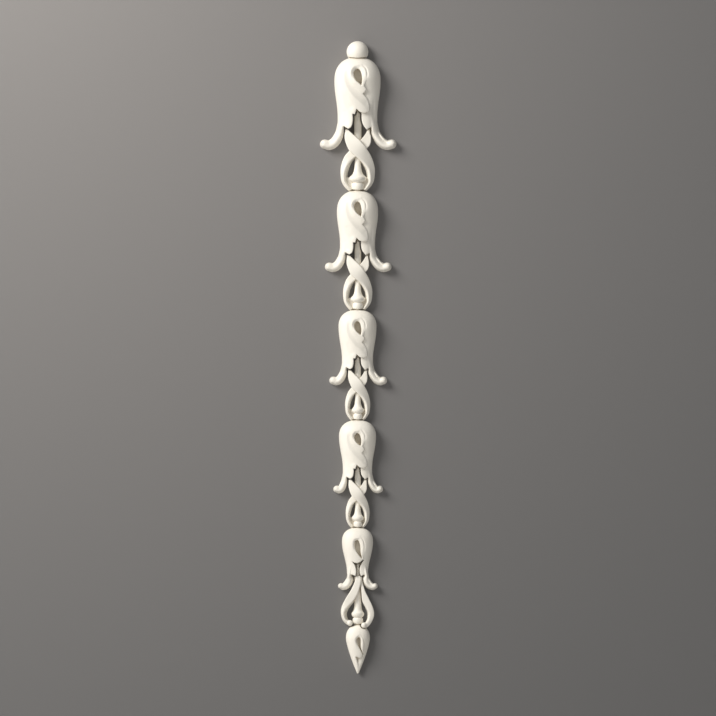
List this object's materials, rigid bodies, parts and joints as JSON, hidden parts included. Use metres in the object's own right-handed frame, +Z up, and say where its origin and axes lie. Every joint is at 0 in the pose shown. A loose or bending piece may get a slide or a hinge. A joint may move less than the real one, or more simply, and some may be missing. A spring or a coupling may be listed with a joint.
{
  "type": "decorative applique strip",
  "caption": "Slim carved drop of diminishing bell flowers on crossed ribbons, with a ball on top and a pointed bud below, flat-backed for mounting as trim.",
  "frame": {"origin": "on the flat back, in the middle of the third flower's back", "axes": "+Z up along the strip towards the ball, +X to the right seen from the front, front faces -Y, back faces +Y"},
  "size_m": [0.0714, 0.0205, 0.6],
  "materials": {
    "matt_cream": "matt off-white paint over a smooth cast body"
  },
  "bodies": {
    "root": {"applique_strip": "matt_cream"}
  },
  "joints": []
}
